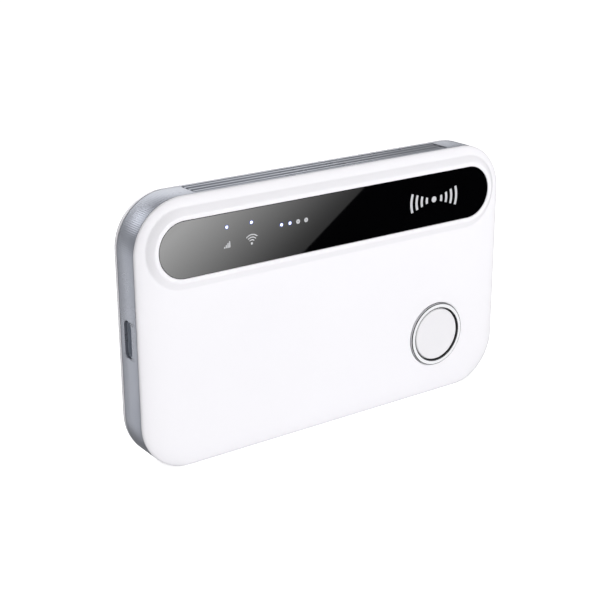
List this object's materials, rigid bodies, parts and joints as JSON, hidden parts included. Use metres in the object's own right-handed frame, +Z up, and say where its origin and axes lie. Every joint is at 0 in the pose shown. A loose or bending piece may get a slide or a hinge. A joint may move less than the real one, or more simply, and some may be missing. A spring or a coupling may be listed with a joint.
{
  "type": "mobile hotspot",
  "caption": "Pocket battery-powered wireless hotspot: pillow-shaped white covers, grey edge band, dark stadium window with status lamps, ringed round power button and a USB-C socket.",
  "frame": {"origin": "middle of the bottom edge, at the centre of the bounding box's bottom face", "axes": "+X across the front, to the right as one faces it; +Y from the front to the back; +Z up, the way the object stands on its bottom edge"},
  "size_m": [0.1036, 0.0148, 0.063],
  "materials": {
    "white_gloss": "polished white moulding",
    "grey_satin": "satin blue-grey, finely fluted",
    "black_window": "polished clear plastic, printed black behind",
    "chrome_trim": "bright plated trim",
    "pressed_steel": "pressed sheet, tin plated",
    "gold_contact": "gold flashed springs",
    "black_plastic": "moulded, fine texture",
    "circuit_board": "glass-epoxy board with green solder mask",
    "chip_package": "moulded epoxy",
    "lamp_lens": "clear cap over a white LED",
    "foam_tape": "black foam adhesive",
    "antenna_copper": "plated copper foil",
    "cell_wrap": "dark grey battery case",
    "paper_label": "printed paper label without words",
    "sim_plastic": "white card stock"
  },
  "bodies": {
    "hotspot_body": {"front_cover": "white_gloss", "mid_frame": "grey_satin", "top_strip": "grey_satin", "display_window": "black_window", "button_ring": "chrome_trim", "usb_shell": "pressed_steel", "sim_socket": "pressed_steel", "power_switch": "pressed_steel", "modem_shield": "pressed_steel", "wifi_shield": "pressed_steel", "power_shield": "pressed_steel", "tray_screw_1": "pressed_steel", "tray_screw_2": "pressed_steel", "tray_screw_3": "pressed_steel", "tray_screw_4": "pressed_steel", "tray_screw_5": "pressed_steel", "tray_screw_6": "pressed_steel", "battery_contact_1": "gold_contact", "battery_contact_2": "gold_contact", "battery_contact_3": "gold_contact", "battery_contact_4": "gold_contact", "light_block": "black_plastic", "usb_tongue": "black_plastic", "reset_switch": "black_plastic", "battery_tray": "black_plastic", "contact_block": "black_plastic", "main_board": "circuit_board", "modem_chip": "chip_package", "memory_chip": "chip_package", "wifi_chip": "chip_package", "power_chip": "chip_package", "status_led_1": "lamp_lens", "status_led_2": "lamp_lens", "battery_led_1": "lamp_lens", "battery_led_2": "lamp_lens", "battery_led_3": "lamp_lens", "battery_led_4": "lamp_lens", "window_adhesive": "foam_tape", "main_antenna": "antenna_copper", "diversity_antenna": "antenna_copper", "wifi_antenna_left": "antenna_copper", "wifi_antenna_right": "antenna_copper", "battery": "cell_wrap", "battery_label": "paper_label", "tray_label": "paper_label"},
    "power_button": {"power_button": "white_gloss", "switch_plunger": "black_plastic"},
    "rear_cover": {"rear_cover": "white_gloss"},
    "sim_card": {"sim_card": "sim_plastic"},
    "reset_button": {"reset_button": "black_plastic"}
  },
  "joints": [
    {"name": "power_button_press", "type": "slide", "parent": "hotspot_body", "child": "power_button", "axis": [0, 1, 0], "range_m": [0, 0.00035], "stiffness_N_per_m": 1500, "springref_m": -0.0006},
    {"name": "rear_cover_removal", "type": "slide", "parent": "hotspot_body", "child": "rear_cover", "axis": [0, 1, 0], "range_m": [0, 0.03]},
    {"name": "sim_card_slide", "type": "slide", "parent": "hotspot_body", "child": "sim_card", "axis": [0, 0, -1], "range_m": [0, 0.013]},
    {"name": "reset_button_press", "type": "slide", "parent": "hotspot_body", "child": "reset_button", "axis": [0, -1, 0], "range_m": [0, 0.0003], "stiffness_N_per_m": 500, "springref_m": -0.0006}
  ]
}
